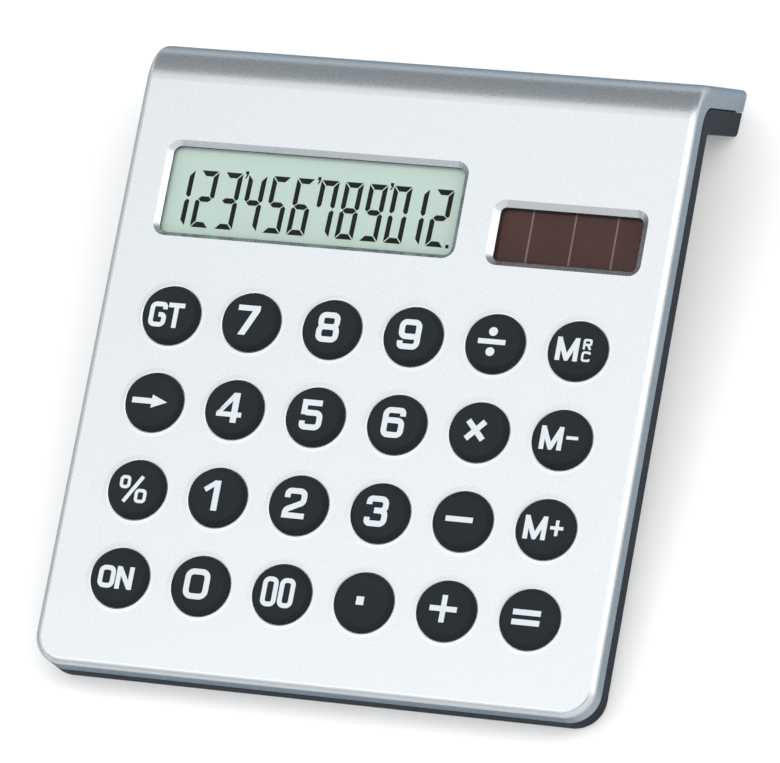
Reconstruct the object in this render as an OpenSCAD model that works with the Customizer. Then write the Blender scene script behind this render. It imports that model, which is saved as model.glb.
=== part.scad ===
// Desk calculator with a bent body: a flat face with round keys, a display and a
// solar cell, which turns down at the back into a leg.
//
// Most pieces are drawn in the face frame: x across, y up the face, z out of it,
// with the origin at the middle of the key field on the face. place() then tilts
// them onto the desk, with the origin at the middle of the footprint.

/* [Body] */
// Width of the body
body_w = 143.2; // [143:0.2:150]
// Front edge to the middle of the key field, along the face
front_reach = 56.3; // [56:0.1:60]
// Middle of the key field to the point where face and leg would meet
back_reach = 103.3; // [103:0.1:108]
// Thickness of the body behind the face
body_t = 11.8; // [11.8:0.1:12.4]
// Depth of the joint between the covers, behind the face
parting_depth = 6; // [5.8:0.1:6.2]
// Depth of the joint between the covers, on the leg
leg_parting_depth = 5.4; // [5.2:0.1:5.8]
// Radius of the two front corners
corner_r = 7.5; // [6.5:0.1:9]
// Radius of the edge round the face
edge_r = 1.6; // [1:0.1:1.8]
// Radius of the edge round the rear cover
rear_edge_r = 0.9; // [0.8:0.1:1.5]

/* [Leg] */
// Angle that the body turns through at the bend
bend_angle = 72.1; // [70:0.1:74]
// Outer radius of the bend
bend_r = 12.4; // [11:0.1:13]
// Radius in the corner between the underside and the leg
inner_bend_r = 2.5; // [2:0.1:3.5]
// Radius of the joint between the covers at the bend
parting_bend_r = 7; // [6:0.5:8]
// Tilt of the face above the desk
face_tilt = 8.5; // [7:0.1:10]
// Radius at the foot of the leg
leg_end_r = 0.5; // [0.4:0.1:1.5]

/* [Walls] */
// Wall behind the face
face_wall = 1.8; // [1.8:0.1:2]
// Side walls
side_wall = 2; // [1.9:0.1:2.2]
// Wall of the rear cover
rear_wall = 1.6; // [1.4:0.1:1.8]

/* [Keys] */
// Spacing of the key columns
key_pitch_x = 21; // [21:0.1:21.4]
// Spacing of the key rows
key_pitch_y = 22.4; // [22.2:0.1:22.6]
// Diameter of a key where it meets the face
key_d = 15; // [14:0.1:15.2]
// Diameter that the flank would have at the top of the key
key_top_d = 13.2; // [12:0.1:13.8]
// Height of a key above the face
key_rise = 2.4; // [2:0.1:2.8]
// Travel of a key
key_travel = 1.2; // [0.8:0.1:1.3]
// Gap between a key and its hole
key_gap = 0.25; // [0.2:0.05:0.3]

/* [Windows] */
// Width of the display opening
display_w = 76.3; // [74:0.1:76.6]
// Height of the display opening
display_h = 22.4; // [22:0.1:22.8]
// Width of the solar opening
solar_w = 36.3; // [34:0.1:36.6]
// Height of the solar opening
solar_h = 13.6; // [12.6:0.1:13.8]
// Width of the bevel round the display
bevel_w = 1.3; // [1:0.1:1.4]
// Width of the bevel round the solar window
solar_bevel_w = 1.6; // [1:0.1:1.8]
// Depth of both bevels
bevel_depth = 1.5; // [1.3:0.1:1.6]

/* [Hidden] */
$fn = 48;
KEYS = [
    "key_grand_total", "key_7", "key_8", "key_9", "key_divide", "key_memory_recall",
    "key_backspace", "key_4", "key_5", "key_6", "key_multiply", "key_memory_minus",
    "key_percent", "key_1", "key_2", "key_3", "key_minus", "key_memory_plus",
    "key_on", "key_0", "key_double_zero", "key_point", "key_plus", "key_equals"
];

over = 0.01;
cut = 1;
columns = 6;
rows = 4;

// Body
half_w = body_w / 2;
front_y = -front_reach;
bend_y = back_reach - bend_r * tan(bend_angle / 2);
inner_y = back_reach - body_t * tan(bend_angle / 2);
inner_bend_y = inner_y - inner_bend_r * tan(bend_angle / 2);
parting_y = back_reach - leg_parting_depth / sin(bend_angle) + parting_depth / tan(bend_angle);
leg_reach = 48;
leg_step = 0.02;
leg_overlap = 0.5;
shell_depth = 9;
reveal = 0.4;
lip_h = 1;
lip_t = 0.9;
lip_inset = 0.1;
lip_root = 0.9;
lip_gap = 0.1;
lip_end_y = 88;
heel_step = 0.35;
arc_step = 0.002;

// Seat on the desk
front_gap = 0.35;
leg_gap = 0.4;
leg_end_wall = 1.8;
leg_lean = 90 - bend_angle + face_tilt;
seat_z = front_gap + (front_reach - rear_edge_r) * sin(face_tilt) + body_t * cos(face_tilt);
meet_z = back_reach * sin(face_tilt) + seat_z;
heel_z = leg_gap + leg_end_r;
heel_y = back_reach * cos(face_tilt) + (meet_z - heel_z) * tan(leg_lean) - leg_end_r / cos(leg_lean);
front_most = (front_y + edge_r) * cos(face_tilt) + edge_r * sin(face_tilt) - edge_r;
seat_y = -(front_most + heel_y + leg_end_r) / 2;

// Keys, from the top of the cap down to the board
key_edge_r = 1;
key_cap_t = 1.5;
key_skirt_t = 1.4;
key_flange_d = key_d + 2.4;
key_flange_t = 0.8;
key_flange_gap = 0.1;
key_flange_z = -face_wall - key_flange_gap;
key_plunger_d = 5.6;
key_foot_z = key_flange_z - key_flange_t - 0.1;
key_hole_r = key_d / 2 + key_gap;
key_hole_bevel = 0.3;
guide_w = 2;
guide_t = 1;
guide_gap = 0.15;
guide_z = key_flange_z - key_flange_t - key_travel - 0.4;

// Board and dome mat
board_top = -6.4;
board_t = 1.2;
board_bottom = board_top - board_t;
board_w = 124;
board_y0 = -45;
board_y1 = 52.6;
mat_t = 0.8;
mat_w = 122;
mat_h = 87.2;
dome_base_d = 10.4;
dome_top_d = 6.4;
dome_wall = 0.8;
dome_gap = 0.05;
pill_d = 3.4;
pill_gap = 1.1;

// Screws: [x, y] in the face frame
board_screw_at = [[-42, 22.4], [42, 22.4], [-42, -22.4], [42, -22.4], [0, 0]];
holder_screw_at = [[-52, 85.5], [8, 85.5]];
case_screw_at = [[-65.5, -48], [65.5, -48], [-66, 40], [66, 40], [-62, 86.5], [62, 86.5]];
small_screw_r = 0.9;
small_head_r = 1.9;
small_head_h = 1.1;
case_screw_r = 1.15;
case_head_r = 2.2;
case_head_h = 1.6;
case_seat_z = -9.4;
case_boss_z = -8.2;
screw_gap = 0.02;
screw_tip_z = -3;

// Windows and display stack
display_at = [-22.55, 66.5];
solar_at = [44.6, 61.8];
display_r = 2;
solar_r = 1.4;
window_z = -face_wall - 0.05;
window_t = 0.8;
lcd_w = 80;
lcd_top_y = display_at[1] + 13.4;
lcd_front_h = 31;
lcd_rear_h = 27;
polariser_z = window_z - window_t - 0.05;
film_t = 0.2;
film_inset = 1;
glass_t = 0.7;
front_glass_z = polariser_z - film_t;
rear_glass_z = front_glass_z - glass_t;
reflector_z = rear_glass_z - glass_t;
holder_floor_z = reflector_z - film_t - 0.1;
holder_floor_t = 1;
holder_wall = 2;
holder_gap = 0.2;
ear_r = 2.6;
strip_w = 74;
strip_d = 2;
strip_y = lcd_top_y - lcd_front_h + 1.8;
solar_glass_w = solar_w + 3.2;
solar_glass_h = solar_h + 3.2;
solar_cell_z = window_z - window_t - 0.05;
solar_cell_t = 1.1;
solar_rib_t = 1.2;
solar_rib_z = -4.2;

// Button cell and its door
cell_at = [45, 67];
cell_r = 10;
cell_t = 3.2;
cell_z = -10.4;
well_r = 10.5;
well_wall = 1.4;
well_top = -5.4;
well_roof = 1;
door_w = 28;
door_y0 = 54.5;
door_y1 = 86.5;
door_t = 1.2;
door_gap = 0.15;
door_r = 1.5;
door_screw_y = 82.6;
door_bed_z = -9.2;
contact_t = 0.3;
lead_r = 0.45;
lead_z = -4.8;

// Feet
foot_d = 10;
foot_at = [54, -43];
foot_recess = 0.7;
pad_w = 22;
pad_d = 4.2;
pad_x = 52;
pad_recess = 0.9;

silver = [0.86, 0.88, 0.9];
dark_grey = [0.2, 0.21, 0.22];
key_black = [0.14, 0.15, 0.16];
clear = [0.85, 0.92, 0.95, 0.4];
steel = [0.72, 0.73, 0.75];

// Face frame onto the desk
module place() {
    translate([0, seat_y, seat_z]) rotate([face_tilt, 0, 0]) children();
}

// Desk frame back into the face frame
module unplace() {
    rotate([-face_tilt, 0, 0]) translate([0, -seat_y, -seat_z]) children();
}

// Everything below height z over the desk, in the face frame
module below_desk(z) {
    unplace() translate([-100, -150, z - 60]) cube([200, 300, 60]);
}

// Half of the body's section: out to w, from top down to bottom, with rounded edges
module half_section(w, top, bottom, r_top, r_bottom) {
    translate([0, bottom + r_bottom]) square([w, top - bottom - r_top - r_bottom]);
    if (r_top > 0) {
        translate([0, top - r_top]) square([w - r_top, r_top]);
        translate([w - r_top, top - r_top]) circle(r_top);
    }
    if (r_bottom > 0) {
        translate([0, bottom]) square([w - r_bottom, r_bottom]);
        translate([w - r_bottom, bottom + r_bottom]) circle(r_bottom);
    }
}

module full_section(w, top, bottom, r_top, r_bottom) {
    half_section(w, top, bottom, r_top, r_bottom);
    mirror([1, 0]) half_section(w, top, bottom, r_top, r_bottom);
}

// Draws a 2D shape given as (y, z) along the whole width w
module across(w) {
    translate([-w / 2, 0, 0]) rotate([90, 0, 90]) linear_extrude(w) children();
}

// Body form: front corners, flat face, bend about (turn_y, turn_z) and leg
module bent_form(turn_y, turn_z, inset, top, bottom, r_top, r_bottom) {
    w = half_w - inset;
    r = corner_r - inset;
    start_y = front_y + corner_r;
    translate([0, turn_y, 0]) rotate([90, 0, 0]) linear_extrude(turn_y - start_y)
        full_section(w, top, bottom, r_top, r_bottom);
    translate([0, start_y, 0]) across(2 * (half_w - corner_r)) mirror([1, 0])
        half_section(r, top, bottom, r_top, r_bottom);
    for (side = [0, 1])
        mirror([side, 0, 0]) translate([half_w - corner_r, start_y, 0]) rotate([0, 0, -90])
            rotate_extrude(angle = 90) half_section(r, top, bottom, r_top, r_bottom);
    translate([0, turn_y, turn_z]) rotate([0, -90, 0]) rotate_extrude(angle = bend_angle)
        translate([-turn_z, 0]) mirror([1, -1]) full_section(w, top, bottom, r_top, r_bottom);
    translate([0, turn_y, turn_z]) rotate([-bend_angle, 0, 0]) translate([0, leg_reach, -turn_z])
        rotate([90, 0, 0]) linear_extrude(leg_reach + leg_overlap)
            full_section(w - leg_step, top - leg_step, bottom + leg_step, r_top, r_bottom);
}

// The rear cover's side of the joint between the covers, set back by drop
module rear_side(drop) {
    r = parting_bend_r - drop;
    reach = r * tan(bend_angle / 2);
    along = [cos(bend_angle), -sin(bend_angle)];
    corner = [parting_y - drop * tan(bend_angle / 2), -parting_depth - drop];
    across(body_w + 2 * cut) {
        polygon([
            [front_y - cut, corner[1]],
            corner - [reach, 0],
            corner + reach * along,
            corner + (leg_reach + reach) * along,
            [front_y - cut, corner[1] + (leg_reach + reach) * along[1]]
        ]);
        translate(corner - [reach, r]) circle(r - arc_step);
    }
}

// What rounding takes away at the heel, where the leg meets the desk
module heel_cut() {
    unplace() translate([0, seat_y, 0]) across(body_w + 2 * cut)
        translate([heel_y, heel_z]) difference() {
            rotate(-90) square([leg_end_r + cut, leg_end_r + cut]);
            circle(leg_end_r);
        }
}

// Plan of the flat part of the body, pulled in by inset, up to end_y
module plan(inset, end_y) {
    w = half_w - inset;
    start_y = front_y + corner_r;
    translate([-w, start_y]) square([2 * w, end_y - start_y]);
    translate([-(half_w - corner_r), front_y + inset])
        square([2 * (half_w - corner_r), corner_r - inset]);
    for (side = [-1, 1])
        translate([side * (half_w - corner_r), start_y]) circle(corner_r - inset);
}

module rounded_box(w, h, r, z0, z1) {
    translate([0, 0, z0]) linear_extrude(z1 - z0) {
        square([w - 2 * r, h], center = true);
        square([w, h - 2 * r], center = true);
        for (x = [-1, 1], y = [-1, 1])
            translate([x * (w / 2 - r), y * (h / 2 - r)]) circle(r);
    }
}

module plate(at, w, h, z0, z1) {
    translate([at[0] - w / 2, at[1] - h / 2, z0]) cube([w, h, z1 - z0]);
}

module post(at, r, z0, z1) {
    translate([at[0], at[1], z0]) cylinder(r = r, h = z1 - z0);
}

// Bevelled window: the opening at the foot of the bevel is w by h
module window_cut(at, w, h, r, bevel) {
    rise = bevel_depth + 0.2;
    slope = bevel / bevel_depth;
    translate([at[0], at[1], 0]) {
        rounded_box(w, h, r, -face_wall - cut, -bevel_depth);
        for (turn = [0, 1]) {
            long = turn == 0 ? w : h;
            short = turn == 0 ? h : w;
            rotate([0, 0, 90 * turn]) rotate([90, 0, 90])
                translate([0, 0, -(long / 2 - r)]) linear_extrude(long - 2 * r) polygon([
                    [-short / 2, -bevel_depth], [short / 2, -bevel_depth],
                    [short / 2 + rise * slope, rise - bevel_depth],
                    [-short / 2 - rise * slope, rise - bevel_depth]
                ]);
        }
        for (x = [-1, 1], y = [-1, 1])
            translate([x * (w / 2 - r), y * (h / 2 - r), -bevel_depth])
                cylinder(r1 = r, r2 = r + rise * slope, h = rise);
    }
}

function key_x(k) = (k % columns - (columns - 1) / 2) * key_pitch_x;
function key_y(k) = ((rows - 1) / 2 - floor(k / columns)) * key_pitch_y;

// Outline of a key above the skirt: tapered flank and rounded top edge
module key_crown() {
    half = key_d / 2;
    lean = atan((key_d - key_top_d) / 2 / key_rise);
    edge_x = half - (key_edge_r + sin(lean) * (key_rise - key_edge_r)) / cos(lean);
    edge_z = key_rise - key_edge_r;
    polygon([
        [0, 0], [half, 0],
        [edge_x + key_edge_r * cos(lean), edge_z + key_edge_r * sin(lean)],
        [edge_x, edge_z], [edge_x, key_rise], [0, key_rise]
    ]);
    translate([edge_x, edge_z]) circle(key_edge_r);
}

// One key cap: crown, skirt, retaining flange with its guide slot, and plunger
module key_cap(k) {
    roof = key_rise - key_cap_t;
    flange_foot = key_flange_z - key_flange_t;
    color(key_black) place() translate([key_x(k), key_y(k), 0]) {
        difference() {
            union() {
                rotate_extrude() key_crown();
                translate([0, 0, flange_foot]) cylinder(d = key_d, h = -flange_foot);
                translate([0, 0, flange_foot]) cylinder(d = key_flange_d, h = key_flange_t);
            }
            translate([0, 0, flange_foot - cut])
                cylinder(d = key_d - 2 * key_skirt_t, h = roof - flange_foot + cut);
            translate([-guide_w / 2 - guide_gap, key_hole_r - 0.1, flange_foot - cut])
                cube([guide_w + 2 * guide_gap, key_flange_d, key_flange_t + cut + over]);
        }
        translate([0, 0, key_foot_z]) cylinder(d = key_plunger_d, h = roof + 0.2 - key_foot_z);
        for (turn = [0, 90])
            rotate([0, 0, turn]) translate([-(key_d / 2 - key_skirt_t + 0.2), -0.5, flange_foot + 1])
                cube([key_d - 2 * key_skirt_t + 0.4, 1, roof + 0.2 - flange_foot - 1]);
    }
}

module key_holes() {
    for (k = [0:columns * rows - 1])
        translate([key_x(k), key_y(k), 0]) {
            translate([0, 0, -face_wall - cut]) cylinder(r = key_hole_r, h = face_wall + 2 * cut);
            translate([0, 0, -key_hole_bevel])
                cylinder(r1 = key_hole_r, r2 = key_hole_r + 2 * key_hole_bevel, h = 2 * key_hole_bevel);
        }
}

module key_guides() {
    for (k = [0:columns * rows - 1])
        translate([key_x(k) - guide_w / 2, key_y(k) + key_hole_r + 0.1, guide_z])
            cube([guide_w, guide_t, -face_wall + over - guide_z]);
}

module front_shell() {
    difference() {
        bent_form(bend_y, -bend_r, 0, 0, -shell_depth, edge_r, 0);
        rear_side(0);
        difference() {
            bent_form(bend_y, -bend_r, side_wall, -face_wall, -bend_r + over, 0, 0);
            below_desk(leg_gap + leg_end_wall);
        }
        translate([0, 0, -parting_depth - cut])
            linear_extrude(lip_h + lip_gap + cut) plan(side_wall - lip_t - lip_gap, lip_end_y);
        difference() {
            leg_band(side_wall - lip_t - lip_gap + 0.02, lip_end_y - 1, lip_h + lip_gap - 0.02, cut);
            below_desk(leg_gap + leg_end_wall + 0.1);
        }
        below_desk(leg_gap);
        heel_cut();
    }
}

module front_cover() {
    color(silver) place() difference() {
        union() {
            front_shell();
            key_guides();
            for (at = case_screw_at) post(at, 3, case_boss_z, -face_wall + over);
            for (at = board_screw_at) post(at, 2.5, board_top, -face_wall + over);
            for (at = holder_screw_at) post(at, 2.3, holder_floor_z, -face_wall + over);
            difference() {
                plate(solar_at, solar_glass_w + 2 * solar_rib_t + 0.4,
                    solar_glass_h + 2 * solar_rib_t + 0.4, solar_rib_z, -face_wall + over);
                plate(solar_at, solar_glass_w + 0.4, solar_glass_h + 0.4,
                    solar_rib_z - cut, -face_wall + 2 * over);
            }
        }
        key_holes();
        window_cut(display_at, display_w, display_h, display_r, bevel_w);
        window_cut(solar_at, solar_w, solar_h, solar_r, solar_bevel_w);
        for (at = case_screw_at)
            post(at, case_screw_r + screw_gap, case_boss_z - cut, screw_tip_z + 0.3);
        for (at = concat(board_screw_at, holder_screw_at))
            post(at, small_screw_r + screw_gap, -shell_depth, screw_tip_z + 0.3);
    }
}

module rear_shell() {
    turn_z = -body_t - inner_bend_r;
    difference() {
        intersection() {
            bent_form(inner_bend_y, turn_z, 0, -3, -body_t, 0, rear_edge_r);
            rear_side(reveal);
        }
        difference() {
            bent_form(inner_bend_y, turn_z, side_wall, 0, -body_t + rear_wall, 0, 0);
            below_desk(leg_gap + heel_step + leg_end_wall);
        }
        below_desk(leg_gap + heel_step);
    }
}

module rear_lip() {
    translate([0, 0, -parting_depth - lip_root]) linear_extrude(lip_h + lip_root) difference() {
        plan(side_wall - lip_t, lip_end_y - lip_gap);
        plan(side_wall - lip_inset, lip_end_y + cut);
    }
}

// Band along the joint between the covers in the bend and the leg, from side to side
module leg_band(inset, start_y, rise, root) {
    intersection() {
        difference() {
            rear_side(-rise);
            rear_side(root);
        }
        translate([-half_w + inset, start_y, -100]) cube([body_w - 2 * inset, 100, 100]);
    }
}

// Tongue of the rear cover inside the leg's two side walls
module leg_lip() {
    difference() {
        leg_band(side_wall - lip_t + 0.05, lip_end_y - lip_gap - 0.3, lip_h - 0.05, lip_root - 0.05);
        translate([-half_w + side_wall - lip_inset - 0.05, 0, -100])
            cube([body_w - 2 * (side_wall - lip_inset - 0.05), 200, 110]);
        below_desk(leg_gap + leg_end_wall + 0.3);
    }
}

module battery_bed() {
    mid_y = (door_y0 + door_y1) / 2;
    plate([cell_at[0], mid_y], door_w + 4, door_y1 - door_y0 + 4, -body_t + rear_wall - over, door_bed_z);
    post(cell_at, well_r + well_wall, -body_t + rear_wall - over, well_top);
    post([cell_at[0], door_screw_y], 2.6, door_bed_z - over, -7);
}

module door_recess() {
    mid_y = (door_y0 + door_y1) / 2;
    translate([cell_at[0], mid_y, 0])
        rounded_box(door_w + 2 * door_gap, door_y1 - door_y0 + 2 * door_gap, door_r,
            -body_t - cut, -body_t + door_t);
    post(cell_at, well_r, -body_t, well_top - well_roof);
    for (x = [-8, 8])
        plate([cell_at[0] + x, door_y0], 5.4, 4.4, -body_t + door_t - 0.1, -body_t + door_t + 1);
    post([cell_at[0], door_screw_y], small_screw_r + screw_gap, -body_t, -7.4);
    // Slots for the tails of the two contacts
    plate([cell_at[0] - 4, cell_at[1]], 1, 4.4, well_top - well_roof - cut, well_top + cut);
    plate([cell_at[0] + cell_r + 0.15, cell_at[1]], contact_t + 0.3, 4.4,
        well_top - well_roof - cut, well_top + cut);
}

module rear_cover() {
    color(dark_grey) place() difference() {
        union() {
            rear_shell();
            rear_lip();
            leg_lip();
            battery_bed();
            for (at = case_screw_at) post(at, 4, -body_t + rear_wall - over, case_boss_z);
            for (y = [-33.6, -11.2, 11.2, 33.6])
                plate([0, y], 112, 1.2, -body_t + rear_wall - over, board_bottom - 0.1);
        }
        door_recess();
        for (at = case_screw_at) {
            post(at, case_head_r + 0.4, -body_t - cut, case_seat_z);
            post(at, case_screw_r + 0.2, -body_t, case_boss_z + cut);
        }
        for (side = [-1, 1])
            post([side * foot_at[0], foot_at[1]], foot_d / 2 + 0.15, -body_t - cut, -body_t + foot_recess);
        for (side = [-1, 1]) leg_pad(side, 0.15, -cut);
    }
}

// One rubber pad under the leg, grown by gap to cut its recess
module leg_pad(side, gap, z0) {
    pad_y = heel_y + seat_y - 7.1;
    unplace() translate([side * pad_x - pad_w / 2 - gap, pad_y - pad_d - gap, z0])
        cube([pad_w + 2 * gap, pad_d + 2 * gap, leg_gap + pad_recess - z0]);
}

module leg_pads() {
    color(dark_grey) place() for (side = [-1, 1]) leg_pad(side, 0, 0);
}

module front_feet() {
    color(dark_grey) place() difference() {
        for (side = [-1, 1])
            post([side * foot_at[0], foot_at[1]], foot_d / 2, -body_t - 5, -body_t + foot_recess);
        below_desk(0);
    }
}

module display_window() {
    color(clear) place()
        plate([display_at[0], lcd_top_y - lcd_front_h / 2], lcd_w, lcd_front_h,
            window_z - window_t, window_z);
}

module lcd_front_polariser() {
    color(clear) place()
        plate([display_at[0], lcd_top_y - lcd_rear_h / 2], lcd_w - 2 * film_inset,
            lcd_rear_h - 2 * film_inset, polariser_z - film_t, polariser_z);
}

module lcd_front_glass() {
    color(clear) place()
        plate([display_at[0], lcd_top_y - lcd_front_h / 2], lcd_w, lcd_front_h,
            front_glass_z - glass_t, front_glass_z);
}

module lcd_rear_glass() {
    color(clear) place()
        plate([display_at[0], lcd_top_y - lcd_rear_h / 2], lcd_w, lcd_rear_h,
            rear_glass_z - glass_t, rear_glass_z);
}

module lcd_reflector() {
    color([0.76, 0.84, 0.8]) place()
        plate([display_at[0], lcd_top_y - lcd_rear_h / 2], lcd_w - 2 * film_inset,
            lcd_rear_h - 2 * film_inset, reflector_z - film_t, reflector_z);
}

// Tray that holds the display against the front cover, with two screw ears
module lcd_holder() {
    mid = [display_at[0], lcd_top_y - lcd_front_h / 2];
    foot_z = holder_floor_z - holder_floor_t;
    color([0.9, 0.9, 0.88]) place() difference() {
        union() {
            plate(mid, lcd_w + 2 * holder_wall, lcd_front_h + 2 * holder_wall, foot_z, window_z);
            for (at = holder_screw_at) {
                post(at, ear_r, foot_z, holder_floor_z);
                plate([at[0], at[1] - 2], 2 * ear_r, 4, foot_z, holder_floor_z);
            }
        }
        plate(mid, lcd_w + 2 * holder_gap, lcd_front_h + 2 * holder_gap, holder_floor_z, window_z + cut);
        plate([mid[0], strip_y], strip_w + 0.6, strip_d + 0.4, foot_z - cut, holder_floor_z + cut);
        for (at = holder_screw_at) post(at, small_screw_r + 0.2, foot_z - cut, holder_floor_z + cut);
    }
}

module lcd_contact_strip() {
    color([0.85, 0.5, 0.45]) place()
        plate([display_at[0], strip_y], strip_w, strip_d, board_top, rear_glass_z);
}

module solar_window() {
    color(clear) place()
        plate(solar_at, solar_glass_w, solar_glass_h, window_z - window_t, window_z);
}

module solar_cell() {
    color([0.3, 0.21, 0.2]) place()
        plate(solar_at, solar_glass_w, solar_glass_h, solar_cell_z - solar_cell_t, solar_cell_z);
}

// A wire through the given points
module wire(path) {
    for (i = [0:len(path) - 2]) {
        run = path[i + 1] - path[i];
        flat = norm([run[0], run[1]]);
        translate(path[i]) rotate([0, atan2(flat, run[2]), atan2(run[1], run[0])])
            cylinder(r = lead_r, h = norm(run));
    }
    for (i = [1:len(path) - 2]) translate(path[i]) sphere(lead_r + 0.05);
}

module solar_leads() {
    start_z = solar_cell_z - solar_cell_t;
    color([0.7, 0.2, 0.15]) place() for (x = [30, 33])
        wire([[x, 55.5, start_z], [x, 55.5, lead_z], [x, 49, lead_z], [x, 49, board_top]]);
}

// Silicone mat: a flat sheet with a hollow dome and a contact pill under each key
module rubber_dome_mat() {
    sheet_top = board_top + mat_t;
    crown_z = key_foot_z - dome_gap;
    color([0.8, 0.82, 0.8]) place() {
        difference() {
            union() {
                plate([0, 0], mat_w, mat_h, board_top, sheet_top);
                for (k = [0:columns * rows - 1])
                    translate([key_x(k), key_y(k), sheet_top - over])
                        cylinder(d1 = dome_base_d, d2 = dome_top_d, h = crown_z - sheet_top + over);
            }
            for (k = [0:columns * rows - 1])
                translate([key_x(k), key_y(k), board_top - over])
                    cylinder(d1 = dome_base_d - dome_wall, d2 = dome_top_d - 2 * dome_wall,
                        h = crown_z - dome_wall - board_top + over);
            for (at = board_screw_at) post(at, 3.2, board_top - cut, sheet_top + cut);
        }
        for (k = [0:columns * rows - 1])
            translate([key_x(k), key_y(k), board_top + pill_gap])
                cylinder(d = pill_d, h = crown_z - dome_wall - board_top - pill_gap + 0.1);
    }
}

module main_board() {
    color([0.12, 0.4, 0.2]) place() difference() {
        translate([0, (board_y0 + board_y1) / 2, 0])
            rounded_box(board_w, board_y1 - board_y0, 2, board_bottom, board_top);
        for (at = board_screw_at) post(at, small_screw_r + 0.2, board_bottom - cut, board_top + cut);
    }
}

// Chip under a low cap of epoxy, on the back of the board
module controller_chip() {
    cap_r = 6;
    cap_h = 1.4;
    ball_r = (cap_r * cap_r + cap_h * cap_h) / (2 * cap_h);
    color([0.08, 0.08, 0.09]) place() translate([21, 22.4, board_bottom]) mirror([0, 0, 1])
        rotate_extrude() intersection() {
            translate([0, cap_h - ball_r]) circle(ball_r, $fn = 180);
            square([cap_r + 1, cap_h]);
        }
}

module board_components() {
    color([0.75, 0.65, 0.45]) place() for (at = [[-8, 22.4], [-14, 24], [6, 20], [30, 40], [36, 40]])
        plate(at, 3.2, 1.6, board_bottom - 1.2, board_bottom);
}

module pan_screw(at, r, head_r, head_h, seat_z, tip_z) {
    post(at, r, seat_z, tip_z);
    difference() {
        post(at, head_r, seat_z - head_h, seat_z);
        for (turn = [0, 90])
            translate([at[0], at[1], seat_z - head_h]) rotate([0, 0, turn])
                cube([2 * head_r * 0.6, head_r * 0.2, head_h], center = true);
    }
}

module inner_screws() {
    color(steel) place() {
        for (at = board_screw_at)
            pan_screw(at, small_screw_r, small_head_r, small_head_h, board_bottom, screw_tip_z);
        for (at = holder_screw_at)
            pan_screw(at, small_screw_r, small_head_r, small_head_h,
                holder_floor_z - holder_floor_t, screw_tip_z);
    }
}

module case_screws() {
    color(steel) place() for (at = case_screw_at)
        pan_screw(at, case_screw_r, case_head_r, case_head_h, case_seat_z, screw_tip_z);
}

module button_cell() {
    color(steel) place() {
        post(cell_at, cell_r, cell_z, cell_z + cell_t - 0.5);
        post(cell_at, cell_r - 1.2, cell_z, cell_z + cell_t);
    }
}

// Spring leaf on the cell's cap, and a strip against its rim
module battery_contacts() {
    roof_z = well_top - well_roof;
    cap_z = cell_z + cell_t;
    color(steel) place() {
        plate([cell_at[0] - 2.5, cell_at[1]], 5, 4, roof_z - contact_t, roof_z);
        plate([cell_at[0] - 4, cell_at[1]], contact_t, 4, roof_z - over, lead_z - lead_r);
        translate([cell_at[0], cell_at[1] - 2, cap_z]) cube([contact_t, 4, roof_z - cap_z]);
        plate([cell_at[0] + cell_r + contact_t / 2, cell_at[1]], contact_t, 4, cell_z + 0.4,
            lead_z - lead_r);
    }
}

module battery_leads() {
    color([0.15, 0.15, 0.16]) place() {
        for (x = [cell_at[0] - 4, cell_at[0] + cell_r + contact_t / 2])
            wire([[x, cell_at[1], lead_z], [x, 50.5, lead_z], [x, 50.5, board_top]]);
    }
}

module battery_door() {
    mid_y = (door_y0 + door_y1) / 2;
    color(dark_grey) place() difference() {
        union() {
            translate([cell_at[0], mid_y, 0])
                rounded_box(door_w, door_y1 - door_y0, door_r - door_gap, -body_t, -body_t + door_t - 0.05);
            for (x = [-8, 8])
                plate([cell_at[0] + x, door_y0], 5, 3.6, -body_t + door_t - 0.05 - over,
                    -body_t + door_t + 0.8);
        }
        for (x = [-8, 8])
            plate([cell_at[0] + x, door_y0 - 1], 6, 2, -body_t - cut, -body_t + door_t - 0.05);
        post([cell_at[0], door_screw_y], small_screw_r + 0.2, -body_t - cut, -body_t + door_t + cut);
        post([cell_at[0], door_screw_y], small_head_r + 0.3, -body_t - cut, -body_t + 0.7);
        for (i = [0:3])
            plate([cell_at[0], 60 + 1.6 * i], 9, 0.7, -body_t - cut, -body_t + 0.4);
    }
}

module battery_door_screw() {
    color(steel) place()
        pan_screw([cell_at[0], door_screw_y], small_screw_r, small_head_r, 0.6, -body_t + 0.7, -7.6);
}

for (k = [0:columns * rows - 1]) key_cap(k);
front_cover();
rear_cover();
display_window();
lcd_front_polariser();
lcd_front_glass();
lcd_rear_glass();
lcd_reflector();
lcd_holder();
lcd_contact_strip();
solar_window();
solar_cell();
solar_leads();
rubber_dome_mat();
main_board();
controller_chip();
board_components();
inner_screws();
case_screws();
button_cell();
battery_contacts();
battery_leads();
battery_door();
battery_door_screw();
front_feet();
leg_pads();
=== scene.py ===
import math

import bmesh
import bpy
from mathutils import Euler, Matrix, Vector


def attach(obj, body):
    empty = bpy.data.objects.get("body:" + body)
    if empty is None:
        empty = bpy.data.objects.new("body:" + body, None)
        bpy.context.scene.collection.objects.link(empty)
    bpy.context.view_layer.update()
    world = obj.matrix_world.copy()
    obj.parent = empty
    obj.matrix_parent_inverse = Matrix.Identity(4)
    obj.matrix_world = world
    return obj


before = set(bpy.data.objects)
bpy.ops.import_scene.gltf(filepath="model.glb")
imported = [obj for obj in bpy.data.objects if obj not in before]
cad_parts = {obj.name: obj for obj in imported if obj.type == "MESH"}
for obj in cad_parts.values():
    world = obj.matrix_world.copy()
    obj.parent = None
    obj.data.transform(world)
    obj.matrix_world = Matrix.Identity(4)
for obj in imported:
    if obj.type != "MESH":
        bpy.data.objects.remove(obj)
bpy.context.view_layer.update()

MM = 0.001

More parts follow.
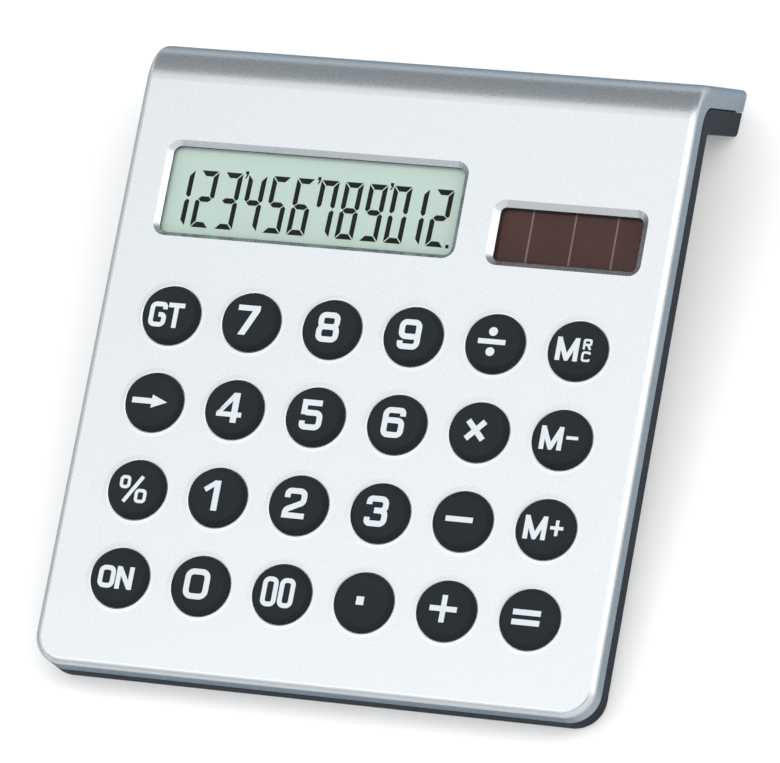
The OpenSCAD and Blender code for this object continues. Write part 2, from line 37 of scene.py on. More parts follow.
# The face frame of the CAD, in mm: x across, y up the face, z out of it, with its origin on the
# face at the middle of the key field.
FACE_TILT = math.radians(8.5)
SEAT_Y, SEAT_Z = -31.9045, 20.209
FACE = Matrix.Translation((0, SEAT_Y * MM, SEAT_Z * MM)) @ Matrix.Rotation(FACE_TILT, 4, "X")

# Heights and distances on the face, in mm
KEY_PITCH_X, KEY_PITCH_Y = 21.0, 22.4
KEY_TOP = 2.4
POLARISER_TOP = -2.70
SOLAR_TOP = -2.70

# Printed marks lie this far above their surface, and each stroke of a mark above the one before it
PRINT_RISE = 0.02
PRINT_STEP = 0.004

# The front cover is bare of paint in this part of it, in mm: the walls of the openings below their
# bevels, reaching up into the bevels so that this dark plastic is also painted shade in the gaps
# round the display, the solar window and the keys
OPENINGS_X = (-62.0, 62.0)
OPENINGS_Y = (-50.0, 81.0)
BARE_AND_SHADE_DEPTHS = (-60.0, -1.40)

# The photograph's viewpoint: its place in the face frame in mm, its turns in degrees from looking
# straight down on the face, and its lens
CAMERA_PLACE = (549.42, -402.11, 1482.31)
CAMERA_TURNS = (18.4525, 17.0478, 10.7000)
CAMERA_LENS, CAMERA_SENSOR = 312.04, 36.0
CAMERA_CLIPS = (0.1, 20.0)

# The lamp, in metres and watts, and the level of the surroundings
LAMP_PLACE = (-0.40, 0.10, 1.40)
LAMP_TARGET = (0, 0, 0.02)
LAMP_SIZE = (1.20, 0.95)
LAMP_POWER = 4.66
WORLD_STRENGTH = 1.2
CARD_COLOUR = (2.5, 2.5, 2.5)

# The floor, and the glow that lifts it to white where it is seen
FLOOR_HALF = 3.0
FLOOR_GLOW = 0.18

# The colour sockets of a Mix node, whose names it also gives to its other kinds of value
MIX_A, MIX_B, MIX_RESULT = 6, 7, 2


# ---------------------------------------------------------------- objects and nodes

def show(obj):
    """Puts an object into the scene and returns it."""
    bpy.context.scene.collection.objects.link(obj)
    return obj


def make_object(name, mesh, material):
    """Turns a drawn mesh into an object of that material in the scene."""
    data = bpy.data.meshes.new(name)
    mesh.to_mesh(data)
    mesh.free()
    data.materials.append(material)
    return show(bpy.data.objects.new(name, data))


class Nodes:
    """The nodes of a world or a material, with short calls to add to them."""

    def __init__(self, owner):
        owner.use_nodes = True
        self.tree = owner.node_tree
        self.tree.nodes.clear()

    def node(self, kind, **values):
        """A new node, with values for its settings and its sockets."""
        node = self.tree.nodes.new(kind)
        for key, value in values.items():
            if hasattr(node, key):
                setattr(node, key, value)
            else:
                node.inputs[key.replace("_", " ")].default_value = value
        return node

    def link(self, source, target):
        self.tree.links.new(source, target)

    def ramp(self, factor, *stops):
        """A colour by the factor, stops being places from 0 to 1 and their colours."""
        node = self.node("ShaderNodeValToRGB")
        ends = node.color_ramp.elements
        for i, (place, colour) in enumerate(stops):
            stop = ends[i] if i < len(ends) else ends.new(place)
            stop.position = place
            stop.color = (*colour, 1)
        self.link(factor, node.inputs[0])
        return node.outputs[0]

    def spread(self, value, low, high, start=0.0):
        """The values from start to 1 turned into low to high."""
        node = self.node("ShaderNodeMapRange", From_Min=start, To_Min=low, To_Max=high)
        self.link(value, node.inputs["Value"])
        return node.outputs[0]

    def join(self, operation, first, *others):
        """One value from several, by a Math operation between each and the next."""
        for other in others:
            node = self.node("ShaderNodeMath", operation=operation)
            self.link(first, node.inputs[0])
            self.link(other, node.inputs[1])
            first = node.outputs[0]
        return first

    def mix(self, factor, first, colour):
        """The first colour where the factor is 0, and the other where it is 1."""
        node = self.node("ShaderNodeMix", data_type="RGBA")
        self.link(factor, node.inputs["Factor"])
        self.link(first, node.inputs[MIX_A])
        node.inputs[MIX_B].default_value = (*colour, 1)
        return node.outputs[MIX_RESULT]


# ---------------------------------------------------------------- camera and light

def make_camera():
    data = bpy.data.cameras.new("camera")
    data.sensor_width = CAMERA_SENSOR
    data.lens = CAMERA_LENS
    data.clip_start, data.clip_end = CAMERA_CLIPS
    camera = show(bpy.data.objects.new("camera", data))
    turn = Euler([math.radians(angle) for angle in CAMERA_TURNS]).to_matrix().to_4x4()
    camera.matrix_world = FACE @ Matrix.Translation(Vector(CAMERA_PLACE) * MM) @ turn
    bpy.context.scene.camera = camera


def make_lamp():
    """One wide soft lamp above the object, from the left."""
    data = bpy.data.lights.new("key_light", "AREA")
    data.shape = "RECTANGLE"
    data.size, data.size_y = LAMP_SIZE
    data.energy = LAMP_POWER
    lamp = show(bpy.data.objects.new("key_light", data))
    aim = Vector(LAMP_TARGET) - Vector(LAMP_PLACE)
    turn = aim.to_track_quat("-Z", "Y").to_matrix().to_4x4()
    lamp.matrix_world = Matrix.Translation(LAMP_PLACE) @ turn


def make_world():
    """Soft surroundings: dim all round, with bright cards for the rounded edges to reflect."""
    world = bpy.data.worlds.new("studio")
    bpy.context.scene.world = world
    nodes = Nodes(world)
    way = nodes.node("ShaderNodeTexCoord").outputs["Generated"]

    def shade(axis, *stops):
        """A colour by how far a direction lies along axis, from -1 to 1."""
        product = nodes.node("ShaderNodeVectorMath", operation="DOT_PRODUCT")
        product.inputs[1].default_value = axis
        nodes.link(way, product.inputs[0])
        factor = nodes.spread(product.outputs["Value"], 0.0, 1.0, -1.0)
        return nodes.ramp(factor, *(((place + 1) / 2, colour) for place, colour in stops))

    def level(axis, *stops):
        """The same for a plain level from 0 to 1."""
        return shade(axis, *((place, (value, value, value)) for place, value in stops))

    across, along, up = (1, 0, 0), (0, 1, 0), (0, 0, 1)
    above = level(up, (0.0, 0.0), (0.06, 1.0))
    right = nodes.join("MULTIPLY", above,
                       level(across, (-0.25, 0.0), (0.0, 0.5), (0.3, 1.0)),
                       level(along, (-0.06, 0.0), (0.04, 1.0), (0.26, 1.0), (0.60, 0.0)))
    front = nodes.join("MULTIPLY", above,
                       level(along, (-0.80, 0.10), (-0.45, 0.60), (-0.05, 0.40), (0.1, 0.0)),
                       level(across, (-0.56, 0.0), (-0.46, 1.0), (-0.22, 1.0), (-0.12, 0.0)))
    left = level(across, (-0.92, 0.12), (-0.74, 0.40), (-0.50, 0.0))
    front_right = level((0.707, -0.707, 0), (0.2, 0.0), (0.5, 0.38))
    cards = nodes.join("MAXIMUM", right, front, left, front_right)
    dim = shade(up, (0.0, (0.24, 0.27, 0.29)), (0.9, (0.26, 0.27, 0.275)))
    soft = nodes.node("ShaderNodeBackground", Strength=WORLD_STRENGTH)
    nodes.link(nodes.mix(cards, dim, CARD_COLOUR), soft.inputs["Color"])
    nodes.link(soft.outputs[0], nodes.node("ShaderNodeOutputWorld").inputs[0])


# ---------------------------------------------------------------- materials

class Shader(Nodes):
    """A material with a Principled shader."""

    def __init__(self, name, **values):
        self.material = bpy.data.materials.new(name)
        super().__init__(self.material)
        self.principled = self.node("ShaderNodeBsdfPrincipled", **values)
        self.surface = self.node("ShaderNodeOutputMaterial").inputs["Surface"]
        self.link(self.principled.outputs[0], self.surface)

    def feed(self, socket, source):
        """Lets a source drive a socket of the Principled shader."""
        self.link(source, self.principled.inputs[socket])

    def pattern(self, kind, output, **values):
        """What a texture or mapping node makes of the places on the object."""
        node = self.node(kind, **values)
        self.link(self.node("ShaderNodeTexCoord").outputs["Object"], node.inputs["Vector"])
        return node.outputs[output]

    def noise(self, scale, detail=2.0):
        return self.pattern("ShaderNodeTexNoise", "Fac", Scale=scale, Detail=detail)

    def within(self, *limits):
        """1 inside a box of the face frame and 0 outside it, limits being its x, y and z in mm."""
        place = self.pattern("ShaderNodeMapping", "Vector", vector_type="TEXTURE",
                             Location=(0, SEAT_Y * MM, SEAT_Z * MM), Rotation=(FACE_TILT, 0, 0),
                             Scale=(MM, MM, MM))
        split = self.node("ShaderNodeSeparateXYZ")
        self.link(place, split.inputs[0])
        sides = []
        for value, (low, high) in zip(split.outputs, limits):
            node = self.node("ShaderNodeMath", operation="COMPARE")
            self.link(value, node.inputs[0])
            node.inputs[1].default_value = (low + high) / 2
            node.inputs[2].default_value = (high - low) / 2
            sides.append(node.outputs[0])
        return self.join("MULTIPLY", *sides)

    def bump(self, height, depth, strength):
        """A surface bumpy by height, depth mm deep."""
        node = self.node("ShaderNodeBump", Strength=strength, Distance=depth * MM)
        self.link(height, node.inputs["Height"])
        self.feed("Normal", node.outputs[0])


def silver_paint():
    """Metallic silver paint: fine flakes with an orange-peel bump, and a steel-blue specular tint at
    flat angles that is a painted reflection of dark blue surroundings.
    It covers the outside only: below the bevels, the walls of the openings are bare dark plastic,
    reaching up into the bevels so that the dark is also painted shade in the gaps round the windows and
    keys."""
    # The steel-blue specular tint is a painted reflection: it stands in for dark blue surroundings seen
    # in the walls at flat angles
    shader = Shader("silver_paint", Specular_Tint=(0.06, 0.18, 0.28, 1))
    flakes = shader.pattern("ShaderNodeTexVoronoi", "Color", Scale=3600.0)
    tone = shader.ramp(flakes, (0.0, (0.478, 0.499, 0.515)), (1.0, (0.516, 0.538, 0.554)))
    # Dark bare plastic below the bevels, reaching high enough to be painted shade too in the gaps round
    # the display, solar window and keys
    bare_and_shade = shader.within(OPENINGS_X, OPENINGS_Y, BARE_AND_SHADE_DEPTHS)
    shader.feed("Base Color", shader.mix(bare_and_shade, tone, (0.030, 0.034, 0.038)))
    shader.feed("Metallic", shader.spread(bare_and_shade, 0.85, 0.0))
    shader.feed("Roughness", shader.spread(flakes, 0.24, 0.34))
    shader.bump(shader.noise(2600.0), 0.01, 0.12)
    return shader.material


def moulded_plastic(name, colour, roughness, grain, depth, spread=0.06, gloss=0.5):
    """Moulded plastic: a fine spark-eroded grain, depth mm deep, and slightly uneven gloss and tone."""
    shader = Shader(name, Specular_IOR_Level=gloss)
    light = [min(1.0, part * (1 + spread)) for part in colour]
    dark = [part * (1 - spread) for part in colour]
    shader.feed("Base Color", shader.ramp(shader.noise(90.0, 4.0), (0.3, dark), (0.7, light)))
    shader.feed("Roughness", shader.spread(shader.noise(400.0), roughness - 0.05, roughness + 0.05))
    shader.bump(shader.noise(grain, 3.0), depth, 0.5)
    return shader.material


def clear_plastic(name, alpha, roughness):
    """Clear acrylic window: nearly invisible, with a gloss that the lights show in."""
    shader = Shader(name, Base_Color=(0.01, 0.01, 0.01, 1), Specular_IOR_Level=0.12, Alpha=alpha)
    shader.feed("Roughness", shader.spread(shader.noise(60.0), roughness * 0.6, roughness))
    return shader.material


def display_panel():
    """The ground of a reflective display: pale green-grey and faintly mottled."""
    shader = Shader("display_panel", Specular_IOR_Level=0.3)
    dark, light = (0.470, 0.595, 0.535), (0.485, 0.615, 0.550)
    shader.feed("Base Color", shader.ramp(shader.noise(55.0, 3.0), (0.25, dark), (0.75, light)))
    shader.feed("Roughness", shader.spread(shader.noise(900.0), 0.42, 0.52))
    return shader.material


def solar_film():
    """Amorphous solar cell seen through its glass: deep brown and slightly uneven."""
    shader = Shader("solar_film", Specular_IOR_Level=0.15)
    dark, light = (0.056, 0.025, 0.0215), (0.065, 0.029, 0.025)
    shader.feed("Base Color", shader.ramp(shader.noise(35.0, 3.0), (0.3, dark), (0.7, light)))
    shader.feed("Roughness", shader.spread(shader.noise(500.0), 0.28, 0.38))
    return shader.material


def plated_steel(name, colour, roughness):
    """Plated steel, slightly uneven in tone and gloss, with a fine bump."""
    shader = Shader(name, Metallic=1.0)
    dark = [part * 0.9 for part in colour]
    gloss = shader.spread(shader.noise(1500.0, 4.0), roughness - 0.07, roughness + 0.07)
    shader.feed("Base Color", shader.ramp(shader.noise(300.0, 4.0), (0.3, dark), (0.7, colour)))
    shader.feed("Roughness", gloss)
    shader.bump(shader.noise(3000.0), 0.005, 0.3)
    return shader.material


def laminate():
    """Green solder mask over glass cloth."""
    shader = Shader("laminate", Coat_Weight=0.3, Coat_Roughness=0.2)
    weave = shader.pattern("ShaderNodeTexChecker", "Fac", Scale=1600.0)
    shader.feed("Base Color", shader.ramp(weave, (0.0, (0.03, 0.16, 0.06)), (1.0, (0.035, 0.19, 0.07))))
    shader.feed("Roughness", shader.spread(shader.noise(300.0), 0.35, 0.5))
    return shader.material


def dress(material, *nodes):
    """Gives CAD nodes a material."""
    for name in nodes:
        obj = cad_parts[name]
        obj.data.materials.clear()
        obj.data.materials.append(material)


# ---------------------------------------------------------------- drawing

# Points closer than this, in metres, become one
WELD = 1e-7

# The arc of a corner takes up at most this share of each line beside it
ARC_SHARE = 0.49

# At a sharp corner, a stroke widens at most to its width divided by this
MITRE_LIMIT = 0.3


def face_point(x, y, z):
    """A point of the face frame, in mm, as a place in the scene."""
    return FACE @ (Vector((x, y, z)) * MM)


class Print:
    """Flat marks at height z of the face frame, drawn in mm around a centre, as one thin mesh."""

    def __init__(self, centre, z, slant=0.0):
        self.centre = centre
        self.z = z
        self.slant = slant
        self.mesh = bmesh.new()

    def fill(self, points):
        """A filled outline."""
        cx, cy = self.centre
        corners = [self.mesh.verts.new(face_point(cx + x + self.slant * y, cy + y, self.z))
                   for x, y in points]
        area = sum(a[0] * b[1] - b[0] * a[1] for a, b in zip(points, points[1:] + points[:1]))
        self.mesh.faces.new(corners if area > 0 else corners[::-1])

    def disc(self, x, y, r, sides=32):
        steps = [2 * math.pi * i / sides for i in range(sides)]
        self.fill([(x + r * math.cos(a), y + r * math.sin(a)) for a in steps])

    def stroke(self, points, width, radius=0.0, closed=False):
        """A line of even width through points, its corners rounded to radius."""
        self.z += PRINT_STEP
        line = rounded(points, radius, closed)
        left, right = offsets(line, width / 2, closed)
        count = len(line) if closed else len(line) - 1
        for i in range(count):
            j = (i + 1) % len(line)
            self.fill([right[i], right[j], left[j], left[i]])

    def finish(self, name, material, body):
        """Turns the drawing into a piece that rides on a body of the part."""
        bmesh.ops.remove_doubles(self.mesh, verts=self.mesh.verts, dist=WELD)
        bmesh.ops.triangulate(self.mesh, faces=self.mesh.faces)
        piece = make_object(name, self.mesh, material)
        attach(piece, body)


def rounded(points, radius, closed, steps=5):
    """The points of a line whose corners are replaced by arcs."""
    count = len(points)
    line = []
    for i, point in enumerate(points):
        here = Vector(point)
        if radius <= 0 or (not closed and i in (0, count - 1)):
            line.append(here)
            continue
        before = Vector(points[i - 1]) - here
        after = Vector(points[(i + 1) % count]) - here
        half = before.angle(after) / 2
        reach = min(radius / math.tan(half), before.length * ARC_SHARE, after.length * ARC_SHARE)
        r = reach * math.tan(half)
        a, b = before.normalized(), after.normalized()
        centre = here + (a + b).normalized() * math.hypot(reach, r)
        start = here + a * reach - centre
        sweep = math.pi - 2 * half
        sign = 1 if a.cross(b) < 0 else -1
        for k in range(steps + 1):
            turn = Matrix.Rotation(sign * sweep * k / steps, 2)
            line.append(centre + turn @ start)
    return line


def offsets(line, half, closed):
    """The two edges of a stroke along line, with mitred corners."""
    count = len(line)
    left, right = [], []
    for i, here in enumerate(line):
        before = line[i - 1] if closed or i > 0 else None
        after = line[(i + 1) % count] if closed or i < count - 1 else None
        ways = []
        if before is not None:
            ways.append((here - before).normalized())
        if after is not None:
            ways.append((after - here).normalized())
        way = sum(ways, Vector((0, 0))).normalized()
        side = Vector((-way.y, way.x))
        first = Vector((-ways[0].y, ways[0].x))
        shift = side * half / max(MITRE_LIMIT, side.dot(first))
        left.append(tuple(here + shift))
        right.append(tuple(here - shift))
    return left, right


# ---------------------------------------------------------------- key legends

# Each legend is drawn in mm around the middle of its key. The widths of the strokes, half the
# size of a digit's middle line, and the radius of its corners:
THICK, MEDIUM, THIN, FINE = 1.45, 1.2, 0.85, 0.58
DIGIT_W, DIGIT_H = 2.15, 3.1
CORNER = 1.15


def bar(mark, x, y, w, h):
    """An upright rectangle around x, y."""
    mark.z += PRINT_STEP
    left, right, foot, top = x - w / 2, x + w / 2, y - h / 2, y + h / 2
    mark.fill([(left, foot), (right, foot), (right, top), (left, top)])


def loop(mark, x, y, w, h, width, radius):
    """A closed rounded loop: w and h are half the size of its middle line."""
    mark.stroke([(x - w, y - h), (x + w, y - h), (x + w, y + h), (x - w, y + h)], width, radius,
                closed=True)


def plus(mark, x, y, w, h, width):
    """A plus sign around x, y, w across and h high."""
    bar(mark, x, y, w, width)
    side = (h - width) / 2
    bar(mark, x, y + (width + side) / 2, width, side)
    bar(mark, x, y - (width + side) / 2, width, side)


def digit_0(mark):
    loop(mark, 0, 0, 2.5, DIGIT_H, THICK, 1.5)


def digit_1(mark):
    bar(mark, 0.55, 0, 1.55, 7.6)
    mark.fill([(-0.2, 3.8), (-0.2, 2.2), (-2.1, 0.75), (-2.9, 1.75)])


def digit_2(mark):
    w, h = DIGIT_W, DIGIT_H
    mark.stroke([(-w, 1.35), (-w, h), (w, h), (w, 0.35), (-w, -1.75), (-w, -h)], THICK, CORNER)
    bar(mark, 0, -h, 2 * w + THICK, 1.4)


def digit_3(mark):
    w, h = DIGIT_W, DIGIT_H
    mark.stroke([(-w, 1.6), (-w, h), (w - 0.1, h), (w - 0.1, 0.2), (-0.7, 0.2)], THICK, CORNER)
    mark.stroke([(-0.7, 0.2), (w, 0.2), (w, -h), (-w, -h), (-w, -1.6)], THICK, CORNER)


def digit_4(mark):
    bar(mark, 1.15, 0, 1.6, 7.6)
    bar(mark, -0.2, -1.75, 6.5, 1.25)
    mark.fill([(0.35, 3.8), (0.35, 1.7), (-1.9, -1.15), (-3.45, -1.15), (-3.45, -1.5)])


def digit_5(mark):
    w, h = DIGIT_W, DIGIT_H
    mark.stroke([(2.3, h), (-w + 0.1, h), (-w + 0.1, 0.0)], THICK)
    mark.stroke([(-w + 0.6, 0.55), (w, 0.55), (w, -h), (-w, -h), (-w, -1.6)], THICK, CORNER)


def digit_9(mark, turn=1):
    """A 9, or with a turn of -1 the same upside down."""
    w, h = DIGIT_W * turn, DIGIT_H * turn
    mark.stroke([(-w, -1.7 * turn), (-w, -h), (w, -h), (w, h), (-w, h), (-w, -0.55 * turn),
                 (w - 0.7 * turn, -0.55 * turn)], THICK, CORNER)


def digit_6(mark):
    digit_9(mark, -1)


def digit_7(mark):
    mark.fill([(-2.85, 3.8), (2.85, 3.8), (2.85, 2.5), (-0.15, -3.8), (-2.0, -3.8), (0.95, 2.4),
               (-2.85, 2.4)])


def digit_8(mark):
    loop(mark, 0, 1.6, DIGIT_W - 0.1, 1.5, THICK, 1.1)
    loop(mark, 0, -1.5, DIGIT_W + 0.05, 1.6, THICK, 1.1)


def double_zero(mark):
    for side in (-2.2, 2.15):
        loop(mark, side, 0, 1.4, 3.15, MEDIUM, 1.1)


def letter_m(mark):
    left, middle, right, top, foot = -3.95, -1.72, 0.5, 2.75, -3.15
    for x in (left, right):
        bar(mark, x, (top + foot) / 2, MEDIUM, top - foot)
    for x in (left, right):
        mark.stroke([(x, top - 0.4), (middle, foot + 0.5)], MEDIUM)
    bar(mark, middle, foot + 0.45, 0.9, 0.9)


def memory_minus(mark):
    letter_m(mark)
    bar(mark, 3.45, 0.2, 3.0, THIN)


def memory_plus(mark):
    letter_m(mark)
    plus(mark, 3.6, 0.1, 3.3, 3.9, THIN)


def memory_recall(mark):
    letter_m(mark)
    mark.stroke([(2.3, 0.05), (2.3, 2.45), (3.95, 2.45), (3.95, 1.25), (2.3, 1.25)], FINE, 0.3)
    mark.stroke([(3.2, 1.25), (3.95, 0.05)], FINE)
    mark.stroke([(4.0, -1.15), (4.0, -0.7), (2.3, -0.7), (2.3, -2.75), (4.0, -2.75), (4.0, -2.3)],
                FINE, 0.45)


def grand_total(mark):
    mark.stroke([(-0.8, 0.9), (-0.8, 2.15), (-4.1, 2.15), (-4.1, -3.05), (-0.8, -3.05), (-0.8, -0.5),
                 (-2.3, -0.5)], MEDIUM, 1.0)
    bar(mark, 2.15, 2.15, 4.2, MEDIUM)
    bar(mark, 2.15, -1.05, MEDIUM, 5.2)


def on(mark):
    loop(mark, -2.35, -0.35, 1.58, 2.25, MEDIUM, 1.1)
    for x in (0.7, 3.9):
        bar(mark, x, -0.35, MEDIUM, 5.7)
    mark.stroke([(0.75, 2.2), (3.85, -2.9)], MEDIUM)


def backspace(mark):
    bar(mark, -2.2, -0.25, 5.1, 1.45)
    mark.fill([(0.35, -1.95), (4.4, -0.25), (0.35, 1.45)])


def percent(mark):
    loop(mark, -2.3, 1.3, 0.98, 1.25, THIN, 0.7)
    loop(mark, 2.2, -1.95, 1.12, 1.38, THIN, 0.7)
    mark.stroke([(-2.0, -3.7), (2.1, 3.0)], 1.0)


def divide(mark):
    bar(mark, 0, 0, 7.0, 1.3)
    for side in (1, -1):
        mark.disc(0, side * 2.55, 1.12)


def multiply(mark):
    mark.stroke([(-2.15, -2.3), (2.15, 2.3)], THICK)
    mark.stroke([(-2.15, 2.3), (-0.5, 0.53)], THICK)
    mark.stroke([(0.5, -0.53), (2.15, -2.3)], THICK)


def minus(mark):
    bar(mark, 0, 0, 6.9, 1.35)


def plus_sign(mark):
    plus(mark, 0.1, 0.1, 6.9, 6.8, 1.35)


def equals(mark):
    bar(mark, 0, 1.2, 7.0, 1.4)
    bar(mark, 0, -1.25, 7.0, 1.4)


def point(mark):
    bar(mark, 0, 0, 1.95, 2.1)


# The keys row by row from the top: what its node is called after key_, and what draws its legend
LEGENDS = [
    [("grand_total", grand_total), ("7", digit_7), ("8", digit_8), ("9", digit_9),
     ("divide", divide), ("memory_recall", memory_recall)],
    [("backspace", backspace), ("4", digit_4), ("5", digit_5), ("6", digit_6),
     ("multiply", multiply), ("memory_minus", memory_minus)],
    [("percent", percent), ("1", digit_1), ("2", digit_2), ("3", digit_3),
     ("minus", minus), ("memory_plus", memory_plus)],
    [("on", on), ("0", digit_0), ("double_zero", double_zero), ("point", point),
     ("plus", plus_sign), ("equals", equals)],
]

# The legends stand a little off the middle of their keys, as in the photo
LEGEND_SHIFT_X, LEGEND_SHIFT_Y = -0.15, -0.2


def key_centre(row, column):
    """The middle of a key on the face: the key field is centred on the origin."""
    last_row, last_column = len(LEGENDS) - 1, len(LEGENDS[0]) - 1
    return (column - last_column / 2) * KEY_PITCH_X, (last_row / 2 - row) * KEY_PITCH_Y


# The section of the paint bead at a key hole: distance from the hole's middle, and height
RIM = [(7.60, -0.50), (7.60, -0.03), (7.90, 0.04), (8.90, -0.002), (7.80, -0.50)]
RIM_SIDES = 64


def make_key_hole_rims(paint):
    """The bead that the paint builds up round the edge of each key hole."""
    rims = Print((0, 0), 0)
    turns = [2 * math.pi * i / RIM_SIDES for i in range(RIM_SIDES)]
    for row, keys in enumerate(LEGENDS):
        for column in range(len(keys)):
            x, y = key_centre(row, column)
            rings = [[rims.mesh.verts.new(face_point(x + r * math.cos(a), y + r * math.sin(a), z))
                      for a in turns] for r, z in RIM]
            for ring, after in zip(rings, rings[1:] + rings[:1]):
                for i in range(RIM_SIDES):
                    rims.mesh.faces.new((ring[i - 1], ring[i], after[i], after[i - 1]))
    bmesh.ops.recalc_face_normals(rims.mesh, faces=rims.mesh.faces)
    rims.finish("key_hole_rims", paint, "housing")


def make_legends(ink):
    for row, keys in enumerate(LEGENDS):
        for column, (name, draw) in enumerate(keys):
            x, y = key_centre(row, column)
            mark = Print((x + LEGEND_SHIFT_X, y + LEGEND_SHIFT_Y), KEY_TOP + PRINT_RISE)
            draw(mark)
            mark.finish("legend_" + name, ink, "key_" + name)


# ---------------------------------------------------------------- display and solar cell

SHOWN = "123456789012"
SEGMENTS_ON = {"0": "abcdef", "1": "bc", "2": "abged", "3": "abgcd", "4": "fgbc", "5": "afgcd",
               "6": "afgedc", "7": "abcf", "8": "abcdefg", "9": "abcdfg"}

# The row of digits on the face, in mm; the last two stand closer, as in the photo
FIRST_DIGIT_X, DIGIT_Y, DIGIT_PITCH = -57.2, 64.92, 6.333
LAST_PAIR, LAST_PAIR_SHIFT = 10, -1.8
DIGIT_SLANT = 0.025

# One digit: half its width and height, the widths of its segments and the gap at their ends
SEG_W, SEG_H = 2.38, 7.4
UPRIGHT_T, LEVEL_T = 1.24, 1.42
SEG_GAP = 0.2

# The digits with a thousands mark after them, the mark's place from the corner of the digit, and
# the place and size of the point after the last digit
GROUP_ENDS = (2, 5, 8)
TICK_X, TICK_Y = 1.15, -0.1
POINT_X, POINT_Y = 0.75, 0.35
POINT_W, POINT_H = 0.85, 0.95

# The lines on the solar cell
SOLAR_LINES_X = (34.33, 45.25, 56.0)
SOLAR_LINE_W = 0.42
SOLAR_LOW, SOLAR_HIGH = 54.8, 68.9


def segment_outlines():
    """The seven mitred segments of one digit, around its middle."""
    w, h, gap = SEG_W, SEG_H, SEG_GAP
    inner, tip, half = w - UPRIGHT_T, w - UPRIGHT_T / 3, LEVEL_T / 2
    low = h - LEVEL_T
    top = [(-w + gap, h), (-inner + gap, low), (inner - gap, low), (w - gap, h)]
    upper = [(w, h - gap), (inner, low - gap), (inner, half + gap), (w - UPRIGHT_T / 2, gap),
             (w, UPRIGHT_T / 2)]
    middle = [(-tip + gap, 0), (-inner + gap, -half), (inner - gap, -half), (tip - gap, 0),
              (inner - gap, half), (-inner + gap, half)]

    def flip(points, fx, fy):
        return [(x * fx, y * fy) for x, y in points]

    return {"a": top, "b": upper, "c": flip(upper, 1, -1), "d": flip(top, 1, -1),
            "e": flip(upper, -1, -1), "f": flip(upper, -1, 1), "g": middle}


def digit_x(i):
    return FIRST_DIGIT_X + i * DIGIT_PITCH + (LAST_PAIR_SHIFT if i >= LAST_PAIR else 0)


def make_display_digits(ink):
    outlines = segment_outlines()
    z = POLARISER_TOP + PRINT_RISE
    for i, digit in enumerate(SHOWN):
        mark = Print((digit_x(i), DIGIT_Y), z, DIGIT_SLANT)
        for letter in SEGMENTS_ON[digit]:
            mark.fill(outlines[letter])
        mark.finish(f"display_digit_{i + 1}", ink, "housing")
    marks = Print((0, DIGIT_Y), z)
    for i in GROUP_ENDS:
        x, y = digit_x(i) + SEG_W + TICK_X, SEG_H + TICK_Y
        marks.fill([(x - 0.45, y + 0.75), (x - 0.45, y - 0.05), (x - 0.05, y - 0.05),
                    (x - 0.40, y - 1.15), (x - 0.05, y - 1.15), (x + 0.42, y - 0.05),
                    (x + 0.42, y + 0.75)])
    last = digit_x(len(SHOWN) - 1)
    bar(marks, last + SEG_W + POINT_X, -SEG_H + POINT_Y, POINT_W, POINT_H)
    marks.finish("display_marks", ink, "housing")


def make_solar_dividers(paint):
    mark = Print((0, 0), SOLAR_TOP + PRINT_RISE)
    for x in SOLAR_LINES_X:
        bar(mark, x, (SOLAR_LOW + SOLAR_HIGH) / 2, SOLAR_LINE_W, SOLAR_HIGH - SOLAR_LOW)
    mark.finish("solar_dividers", paint, "housing")


# ---------------------------------------------------------------- floor and looks

def white_floor():
    """Matt white, with a glow where it is seen, in a reflection or through a window too."""
    shader = Shader("floor_white", Specular_IOR_Level=0.0, Roughness=1.0)
    dark, light = (0.79, 0.79, 0.79), (0.80, 0.80, 0.80)
    shader.feed("Base Color", shader.ramp(shader.noise(3.0), (0.3, dark), (0.7, light)))
    path = shader.node("ShaderNodeLightPath").outputs
    seen = shader.join("MAXIMUM", path["Is Camera Ray"], path["Is Glossy Ray"],
                       path["Is Transmission Ray"])
    glow = shader.node("ShaderNodeEmission")
    shader.link(shader.spread(seen, 0.0, FLOOR_GLOW), glow.inputs["Strength"])
    both = shader.node("ShaderNodeAddShader")
    shader.link(shader.principled.outputs[0], both.inputs[0])
    shader.link(glow.outputs[0], both.inputs[1])
    shader.link(both.outputs[0], shader.surface)
    return shader.material


def make_floor():
    mesh = bmesh.new()
    bmesh.ops.create_grid(mesh, x_segments=2, y_segments=2, size=FLOOR_HALF)
    floor = make_object("floor", mesh, white_floor())


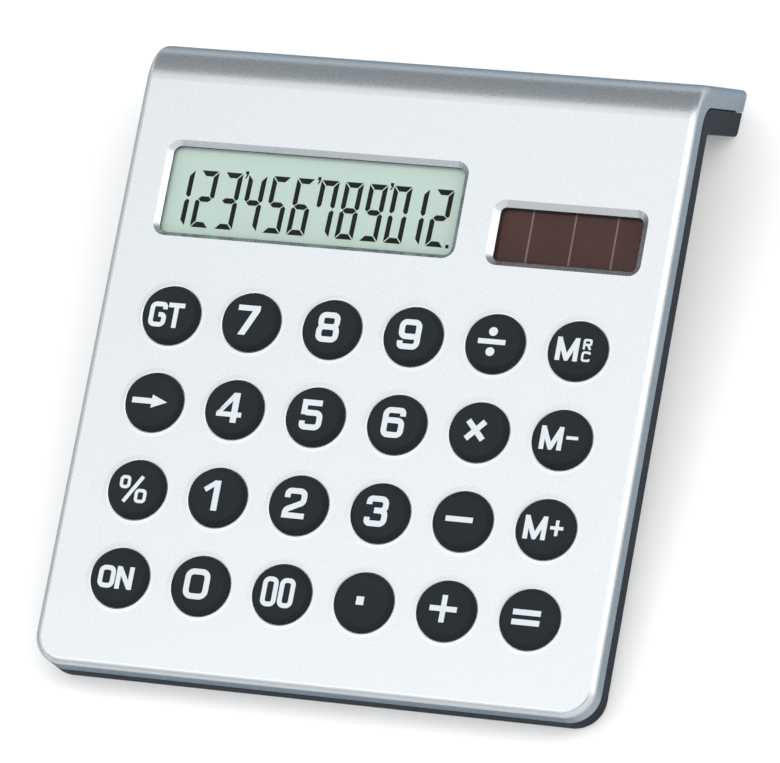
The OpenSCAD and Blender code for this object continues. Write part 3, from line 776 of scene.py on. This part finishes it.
# Plain moulded pieces: name, colour, roughness, scale of the grain, its depth in mm, and their nodes
MOULDED = [
    ("holder_plastic", (0.72, 0.72, 0.70), 0.5, 1500.0, 0.02, ["lcd_holder"]),
    ("foot_rubber", (0.02, 0.02, 0.021), 0.75, 1800.0, 0.04, ["front_feet", "leg_pads"]),
    ("glass_layers", (0.4, 0.5, 0.45), 0.2, 800.0, 0.001,
     ["lcd_front_glass", "lcd_rear_glass", "lcd_reflector"]),
    ("contact_rubber", (0.5, 0.16, 0.13), 0.7, 900.0, 0.02, ["lcd_contact_strip"]),
    ("silicone", (0.5, 0.52, 0.5), 0.6, 900.0, 0.02, ["rubber_dome_mat"]),
    ("epoxy", (0.012, 0.012, 0.012), 0.25, 500.0, 0.01, ["controller_chip"]),
    ("ceramic", (0.36, 0.26, 0.13), 0.5, 900.0, 0.01, ["board_components"]),
    ("red_wire", (0.4, 0.03, 0.025), 0.4, 900.0, 0.01, ["solar_leads"]),
    ("black_wire", (0.02, 0.02, 0.02), 0.4, 900.0, 0.01, ["battery_leads"]),
]


def dress_cad(silver):
    """Gives every CAD node its material."""
    keys = [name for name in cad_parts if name.startswith("key_")]
    shell = moulded_plastic("shell_plastic", (0.014, 0.018, 0.024), 0.5, 2200.0, 0.02, gloss=0.04)
    black = moulded_plastic("key_plastic", (0.017, 0.0205, 0.0225), 0.6, 3000.0, 0.02, gloss=0.06)
    dress(silver, "front_cover")
    dress(shell, "rear_cover", "battery_door")
    dress(black, *keys)
    dress(clear_plastic("window_acrylic", 0.04, 0.08), "display_window", "solar_window")
    dress(display_panel(), "lcd_front_polariser")
    dress(solar_film(), "solar_cell")
    dress(laminate(), "main_board")
    dress(plated_steel("screw_steel", (0.5, 0.5, 0.5), 0.35),
          "inner_screws", "case_screws", "battery_door_screw")
    dress(plated_steel("cell_steel", (0.7, 0.7, 0.69), 0.25), "button_cell", "battery_contacts")
    for name, colour, roughness, grain, depth, nodes in MOULDED:
        dress(moulded_plastic(name, colour, roughness, grain, depth), *nodes)


def make_prints():
    """What is printed or shown on the pieces: legends, display digits and the solar cell's lines."""
    make_legends(moulded_plastic("legend_ink", (0.585, 0.628, 0.665), 0.5, 2500.0, 0.005, spread=0.02))
    make_display_digits(moulded_plastic("segment_ink", (0.013, 0.016, 0.014), 0.5, 2500.0, 0.001,
                                        gloss=0.05))
    make_solar_dividers(moulded_plastic("solar_line", (0.17, 0.10, 0.10), 0.4, 2500.0, 0.001))


bpy.context.scene.view_settings.view_transform = "Standard"
make_camera()
make_world()
make_lamp()
make_floor()
silver = silver_paint()
dress_cad(silver)
make_key_hole_rims(silver)
make_prints()
